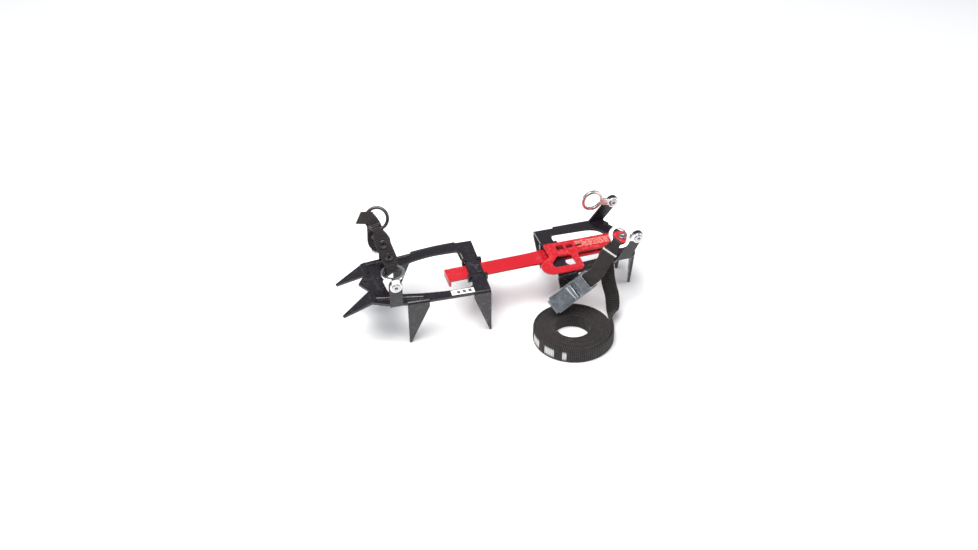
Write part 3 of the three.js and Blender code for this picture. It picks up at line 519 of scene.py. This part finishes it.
def spline(points, count):
    """count + 1 points evenly spaced along the curve."""
    points = [np.array(p, float) for p in points]
    fine = np.array([spline_point(points, i / 1500) for i in range(1501)])
    return even(fine, count)


def even(line, count):
    lengths = np.concatenate([[0], np.cumsum(np.linalg.norm(np.diff(line, axis=0), axis=1))])
    at = np.linspace(0, lengths[-1], count + 1)
    return np.stack([np.interp(at, lengths, line[:, k]) for k in range(line.shape[1])], 1)


def ease(share):
    """1 at the start of a run, falling to 0 a quarter of the way along it."""
    return 0.0 if share >= 0.25 else 0.5 + 0.5 * math.cos(4 * math.pi * share)


def frames(line, widths):
    """Along, across and out directions of webbing that follows a line."""
    along = np.gradient(line, axis=0)
    along /= np.linalg.norm(along, axis=1, keepdims=True)
    out = np.cross(along, widths)
    out /= np.linalg.norm(out, axis=1, keepdims=True)
    return along, np.cross(out, along), out


def run(route, widths, count, narrow):
    """Rows of (place, along, across, out, width) of a run, gathered to narrow widths at its ends."""
    line = spline(route, count)
    widths = [np.array(w, float) for w in widths]
    turn = np.array([spline_point(widths, i / count) for i in range(count + 1)])
    along, across, out = frames(line, turn)
    rows = []
    for i in range(count + 1):
        start, end = ease(i / count), ease(1 - i / count)
        width = narrow[0] * start + narrow[1] * end + WEB_WIDTH * (1 - start - end)
        rows.append((line[i], along[i], across[i], out[i], width))
    return rows


PRESSED = 0.95 * MM  # from the middle of a belt to the middle of each layer


def loop_round(rows, open_start, open_end, pressed=PRESSED):
    """The closed loop of a doubled belt: both layers of a run, open round a bar at each end."""
    count = len(rows) - 1
    turns = 24
    loop = []

    def add(row, angle, radius):
        place, along, across, out, width = row
        direction = out * math.sin(angle) + along * math.cos(angle)
        loop.append(np.concatenate([place + direction * radius, across, direction, [width]]))

    def spread(share):
        return pressed + (open_start - pressed) * ease(share) + (open_end - pressed) * ease(1 - share)

    for i in range(count + 1):
        add(rows[i], math.pi / 2, spread(i / count))
    for k in range(1, turns):
        add(rows[count], math.pi * (0.5 - k / turns), open_end)
    for i in range(count, -1, -1):
        add(rows[i], -math.pi / 2, spread(i / count))
    for k in range(1, turns):
        add(rows[0], -math.pi * (0.5 + k / turns), open_start)
    return np.array(loop + loop[:1])


def ribbed(name, loop, thick, closed, material, body, mark=None):
    """Webbing along rows of (place, across, out, width), with a round rib at each weft yarn."""
    lengths = np.concatenate([[0], np.cumsum(np.linalg.norm(np.diff(loop[:, :3], axis=0), axis=1))])
    ribs = round(lengths[-1] / WEFT_PITCH)
    count = ribs * 6
    at = np.linspace(0, lengths[-1], count + 1)
    rows = np.stack([np.interp(at, lengths, loop[:, k]) for k in range(loop.shape[1])], 1)
    if closed:
        rows = rows[:-1]
    outline = section()
    size = len(outline)
    points, marks = [], []
    for i, row in enumerate(rows):
        place, across, out, width = row[:3], unit(row[3:6]), unit(row[6:9]), row[9]
        swell = math.cos(2 * math.pi * i / 6)
        for a, o in outline:
            flare = 1 + 0.014 * swell
            raised = o * thick * (1 + RIB_RELIEF * swell)
            points.append(place + across * (a * width * flare) + out * raised)
            marks.append(mark(at[i], a, o) if mark else 0.0)
    faces = []
    steps = len(rows) if closed else len(rows) - 1
    for i in range(steps):
        following = (i + 1) % len(rows)
        for j in range(size):
            k = (j + 1) % size
            faces.append((i * size + j, i * size + k, following * size + k, following * size + j))
    if not closed:
        faces.append(tuple(reversed(range(size))))
        faces.append(tuple((len(rows) - 1) * size + j for j in range(size)))
    piece = mesh_piece(name, points, faces, material, body)
    add_weave_uv(piece, at, outline, size)
    attribute = piece.data.attributes.new("mark", "FLOAT", "POINT")
    attribute.data.foreach_set("value", marks)
    return piece


def add_weave_uv(piece, at, outline, size):
    """UVs in metres: along the webbing, and across it."""
    layer = piece.data.uv_layers.new(name="UVMap")
    last = len(at) - 1
    uvs = []
    for polygon in piece.data.polygons:
        corners = [piece.data.loops[i].vertex_index for i in polygon.loop_indices]
        rows = [v // size for v in corners]
        wraps = max(rows) - min(rows) > 1
        for vertex, row in zip(corners, rows):
            row = last if wraps and row == 0 else row
            uvs += [at[row], outline[vertex % size][0] * WEB_WIDTH]
    layer.data.foreach_set("uv", uvs)


# ---------------------------------------------------------------- toe harness

FRONT_YAW = math.radians(-3)


def front(vector):
    """A direction given in the front frame's own axes."""
    return np.array(Matrix.Rotation(FRONT_YAW, 3, "Z") @ Vector(vector))


GATHERED = 9 * MM


LOOP_AT = 9.3 * MM  # where a strap is looped in a bent link's ring, from the ring's centre
LOOP_ANGLE = {1: math.radians(90), -1: math.radians(100)}  # near link, far link
BENT_RISE = 7.1 * MM
BENT_REACH = 13.6 * MM
LINK_OUT = 2.725 * MM  # from the middle of a rivet to the outer face of its link
TOE_LEAN = {1: 0.0, -1: math.radians(-50)}


def toe_loop(rivet, side):
    """Place of a toe strap's loop in its bent link, and the direction of the wire there."""
    eye = rivet_middle(rivet) - front((0, side * LINK_OUT, 0))
    turn = Matrix.Rotation(TOE_LEAN[side], 3, "Y")
    cosine, sine = math.cos(LOOP_ANGLE[side]), math.sin(LOOP_ANGLE[side])
    place = Vector((side * LOOP_AT * cosine, side * (BENT_REACH + LOOP_AT * sine), BENT_RISE + 0.5 * MM))
    wire = Vector((sine, -cosine, 0))
    return eye + front(turn @ place), front(turn @ wire)


def rivet_middle(node):
    points = node_points(node)
    return (points.min(axis=0) + points.max(axis=0)) / 2


def leaving(place, wire, end, distance=9 * MM):
    """The point a strap passes just after it leaves its loop squarely to the wire."""
    way = end - place
    return place + unit(way - wire * (way @ wire)) * distance


def toe_straps(material):
    ring_centre, ring_face, _ = round_axis("toe_ring")
    ring_face = ring_face * np.sign(ring_face[2])
    ring_side = unit(np.cross(UP, ring_face))
    ring_up = np.cross(ring_face, ring_side)

    def from_ring(side, up, face):
        return ring_centre + (ring_side * side + ring_up * up + ring_face * face) * MM

    near, _ = toe_loop("toe_rivet_near", 1)
    near_rows = run(
        [near, near + front((-0.8, 0.8, 9)) * MM, near + front((-5, 5.5, 24)) * MM, from_ring(0.5, -9.2, 0)],
        [front((1, 0, 0)), front((1, 0, 0)), ring_side], 160, (GATHERED + 1 * MM, GATHERED - 1.5 * MM),
    )
    far, wire = toe_loop("toe_rivet_far", -1)
    end = from_ring(-9, 0, -14)
    far_rows = run(
        [far, leaving(far, wire, end), far * 0.4 + end * 0.6 + front((0, 1.5, 2)) * MM,
         end, from_ring(-9.7, 0, 0.5)],
        [wire, wire, front((1, 0, 0.2)), front((0.5, 0.5, 0.7)), ring_up, ring_up],
        200, (GATHERED, GATHERED),
    )
    for name, rows, node, end_open in (
        ("toe_webbing_near", near_rows, "toe_strap_near", 3.7 * MM),
        ("toe_webbing_far", far_rows, "toe_strap_far", 3.8 * MM),
    ):
        belt = ribbed(name, loop_round(rows, 4.1 * MM, end_open), WEB_THICK, True, material, "toe_harness")
        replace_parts(belt, node)
    lean = Matrix.Rotation(math.radians(-22), 3, Vector(ring_face))
    across = np.array(lean @ Vector(ring_up))
    folded_out = ((-5, 4.6), (-9.5, 5.2), (-13.5, 4.4), (-17.5, 3.2))
    places = spline([from_ring(side, 0, face) for side, face in folded_out], 30)
    tail = np.array([np.concatenate([place, across, -ring_face, [13 * MM]]) for place in places])
    ribbed("toe_webbing_tail", tail, WEB_THICK, False, material, "toe_harness")


# ---------------------------------------------------------------- heel straps

LINK_REACH = 22 * MM
NEAR_RISE = math.radians(16)
NEAR_TILT = math.radians(48)
STRAP_DOWN = unit((-0.737, -0.384, -0.557))
STRAP_FACE = unit((-0.237, -0.74, 0.629))
BUCKLE_DOWN = unit((-0.807, 0.022, -0.59))
COIL_OUTER = 41.2 * MM
COIL_INNER = 16.8 * MM
COIL_SQUASH = 0.93
COIL_TURN = math.radians(-18)
COIL_TURNS = 11.5
TAPE_THICK = 1.75 * MM
RING_OPEN = 3.7 * MM
BAR_TACK = 20 * MM


def near_ring_centre():
    pivot = np.array(JOINTS["heel_link_near_swing"]["pos_m"])
    reach = np.array([-math.cos(NEAR_RISE), 0, math.sin(NEAR_RISE)]) * LINK_REACH
    return pivot + reach


def buckle_axes():
    across = unit(np.cross(STRAP_FACE, STRAP_DOWN))
    across = unit(across - BUCKLE_DOWN * (across @ BUCKLE_DOWN))
    return across, np.cross(BUCKLE_DOWN, across)


def buckle_rows(count):
    ring = near_ring_centre()
    bar = np.array(JOINTS["buckle_swing"]["pos_m"])
    turn = Matrix.Rotation(NEAR_RISE, 3, "Y")
    face = np.array(turn @ Vector((0, -math.cos(NEAR_TILT), math.sin(NEAR_TILT))))
    inward = unit(STRAP_DOWN - face * (STRAP_DOWN @ face))
    wire = np.cross(face, inward)
    strap_across = unit(np.cross(STRAP_FACE, STRAP_DOWN))
    across, _ = buckle_axes()
    start, before = ring + inward * 8.6 * MM, bar - BUCKLE_DOWN * 9 * MM
    return run(
        [start, start + STRAP_DOWN * 10 * MM, start * 0.4 + before * 0.6, before, bar],
        [wire, wire, strap_across, across, across], count, (GATHERED, WEB_WIDTH),
    )


def buckle_strap(material, thread):
    rows = buckle_rows(180)
    belt = ribbed(
        "buckle_webbing", loop_round(rows, RING_OPEN, 2.9 * MM), WEB_THICK, True, material, "heel_link_near",
    )
    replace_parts(belt, "buckle_strap")
    bar_tack(rows, thread)


def bar_tack(rows, thread):
    """Close white stitches across the belt, just below its ring."""
    ring = near_ring_centre()
    nearest = min(range(len(rows)), key=lambda i: abs(np.linalg.norm(rows[i][0] - ring) - BAR_TACK))
    place, along, across, out, width = rows[nearest]
    pressed = PRESSED + (RING_OPEN - PRESSED) * ease(nearest / (len(rows) - 1))
    out = out * np.sign(out @ STRAP_FACE)
    surface = pressed + WEB_THICK / 2
    points, faces = [], []
    stitches, arc, sides = 26, 8, 6
    for n in range(stitches):
        middle = place + across * (n / (stitches - 1) - 0.5) * (width + 0.6 * MM)
        knob = 1.7 if n in (0, stitches - 1) else 1.0
        lean = across * (0.25 * MM if n % 2 else -0.25 * MM)
        start = len(points)
        for i in range(arc + 1):
            angle = math.pi * i / arc
            spine = middle + along * (-0.85 * MM * math.cos(angle)) + lean * math.cos(angle)
            spine = spine + out * (surface - 0.1 * MM + 0.35 * MM * math.sin(angle))
            normal = unit(out * math.sin(angle) - along * math.cos(angle))
            for k in range(sides):
                turn = 2 * math.pi * k / sides
                points.append(spine + (across * math.cos(turn) + normal * math.sin(turn)) * 0.28 * MM * knob)
        for i in range(arc):
            for k in range(sides):
                a, b = start + i * sides + k, start + i * sides + (k + 1) % sides
                faces.append((a, b, b + sides, a + sides))
        faces.append(tuple(start + k for k in reversed(range(sides))))
        faces.append(tuple(start + arc * sides + k for k in range(sides)))
    tack = mesh_piece("bar_tack", points, faces, thread, "heel_link_near")


def coil_line():
    """The rolled tape: an oval spiral from the outside in, seen from above clockwise."""
    low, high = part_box("long_strap_coil")
    centre = (np.array(low) + np.array(high)) / 2
    steps_per_turn = 150
    count = round(COIL_TURNS * steps_per_turn)
    start = math.radians(3.4) - COIL_TURN
    line = []
    for i in range(1, count + 1):
        turned_by = 2 * math.pi * i / steps_per_turn
        share = i / count
        radius = COIL_OUTER - TAPE_THICK * 0.55 - share * (COIL_OUTER - COIL_INNER - TAPE_THICK)
        radius += 2.1 * MM * math.exp(-turned_by / 0.6)
        radius += 0.12 * MM * math.sin(2.3 * turned_by) * (1 - share)
        angle = start - turned_by
        oval = 1 / math.hypot(math.cos(angle), math.sin(angle) / COIL_SQUASH)
        direction = np.array([math.cos(angle + COIL_TURN), math.sin(angle + COIL_TURN), 0])
        place = centre + direction * radius * oval
        place[2] = 7.7 * MM + 0.25 * MM * math.sin(1.7 * turned_by + 1.0)
        line.append(place)
    return np.array(line)


# the free stretch from behind the belt to the coil, and the way that its width lies
RUN_ROUTE = [
    (111.85, -36.4, 56.0), (113.85, -39.1, 37.0), (116.15, -45.6, 22.0),
    (113.35, -55.1, 11.5), (107.35, -65.6, 7.7),
]
RUN_WIDTHS = [(0.85, -0.45, -0.3), (0.93, -0.35, -0.1), (0.9, -0.3, 0.25), (0.7, -0.1, 0.7), (0, 0, 1)]
PALE_BLOCKS = [(0.0835, 0.0045), (0.0965, 0.011), (0.116, 0.012)]


def pale_blocks(coil_start):
    """Marks the pale blocks woven into the outer face of the tape."""
    def mark(along, a, o):
        if o > -0.2 or abs(a) > 0.37:
            return 0.0
        return float(any(start < along - coil_start < start + size for start, size in PALE_BLOCKS))
    return mark


def long_strap(material):
    rows = buckle_rows(18)
    behind = [rows[i][0] - rows[i][3] * depth * MM for i, depth in ((4, 3.3), (6, 5.0))]
    across = rows[4][2]
    route = behind + [np.array(p) * MM for p in RUN_ROUTE]
    widths = [np.array(w, float) for w in [across, across, *RUN_WIDTHS]]
    count = 260
    upper = spline(route, count)
    turns = np.array([spline_point(widths, i / count) for i in range(count + 1)])
    coil = coil_line()
    line = np.concatenate([upper, coil])
    for _ in range(12):
        joint = slice(count - 12, count + 14)
        line[joint][1:-1] = (line[joint][:-2] + line[joint][2:]) / 2
    widths = np.concatenate([turns, np.tile(UP, (len(coil), 1))])
    _, across, out = frames(line, widths)
    rows = np.concatenate([line, across, out, np.full((len(line), 1), 14.6 * MM)], 1)
    lengths = np.concatenate([[0], np.cumsum(np.linalg.norm(np.diff(line, axis=0), axis=1))])
    strap = ribbed("ankle_webbing", rows, TAPE_THICK, False, material, None, pale_blocks(lengths[count]))
    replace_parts(strap, "long_strap_run", "long_strap_coil")
    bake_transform(strap)


# ---------------------------------------------------------------- the whole

def build():
    black, bar_paint, latch_paint = black_enamel(), bar_red(), latch_red()
    plate = bright_plate()
    zinc = satin_steel("zinc_steel", colour(0.50, 0.51, 0.54), colour(0.62, 0.63, 0.66), 0.28)
    buckle = satin_steel("buckle_steel", colour(0.36, 0.37, 0.39), colour(0.52, 0.53, 0.56), 0.28)
    dark_steel = satin_steel("dark_steel", colour(0.05, 0.045, 0.05), colour(0.11, 0.10, 0.11), 0.32)
    weave = webbing_weave()

    for node in ("front_frame", "heel_frame"):
        keep_folds(node, black)
    for node in ("front_bar_guide", "heel_bar_guide"):
        round_edges(node, black, 0.45 * MM)
    round_edges("link_bar", bar_paint, 0.35 * MM)
    round_edges("latch_plate", latch_paint, 0.35 * MM)
    round_edges("latch_peg", zinc, 0.3 * MM)
    round_edges("frame_label", sticker(), 0.05 * MM, 2)
    round_edges("buckle_frame", buckle, 0.25 * MM)
    round_edges("buckle_lever", buckle, 0.25 * MM)
    round_edges("buckle_pin", zinc, 0.2 * MM)
    round_edges("latch_rivet", zinc, 0.2 * MM)
    for node in ("toe_link_near", "toe_link_far", "heel_link_near", "heel_link_far"):
        melt(node, plate, 0.25 * MM, 8)
    for node, body in (("toe_rivet_near", "front"), ("toe_rivet_far", "front"),
                       ("heel_rivet_near", "heel"), ("heel_rivet_far", "heel")):
        rolled_rivet(node, zinc, body, 4.4 * MM)
    for node in ("toe_strap_rivet_low", "toe_strap_rivet_high", "toe_strap_rivet_far"):
        rolled_rivet(node, dark_steel, "toe_harness", 4.2 * MM)
    ring_piece("toe_ring", dark_steel, "toe_harness", 1.6 * MM)
    toe_straps(weave)
    buckle_strap(weave, white_thread())
    long_strap(weave)


make_camera()
light_studio()
lay_floor()
build()
